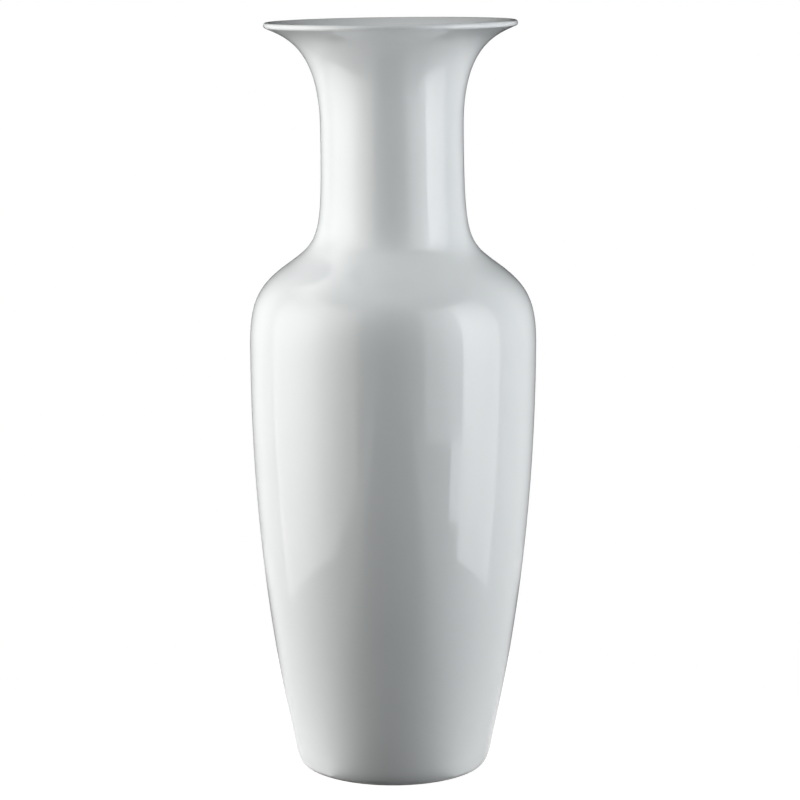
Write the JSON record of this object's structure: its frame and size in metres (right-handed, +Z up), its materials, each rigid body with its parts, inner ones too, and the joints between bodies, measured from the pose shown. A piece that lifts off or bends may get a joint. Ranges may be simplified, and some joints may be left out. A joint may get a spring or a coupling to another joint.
{
  "type": "floor vase",
  "caption": "Tall white glazed porcelain floor vase with a tapering body, rounded shoulder, waisted neck, trumpet mouth and foot ring.",
  "frame": {"origin": "centre of the foot ring's standing face, on the axis of the body and on the plane that the vase stands on", "axes": "+Z up along the body's axis, +X to the right and +Y away from the viewer in the picture; the neck leans 0.73 degrees towards -X"},
  "size_m": [0.236, 0.236, 0.6208],
  "materials": {
    "white_glaze": "gloss",
    "bare_porcelain": "matte"
  },
  "bodies": {
    "root": {"foot_ring": "white_glaze", "base_disc": "white_glaze", "lower_body": "white_glaze", "upper_body": "white_glaze", "neck": "white_glaze"}
  },
  "joints": []
}
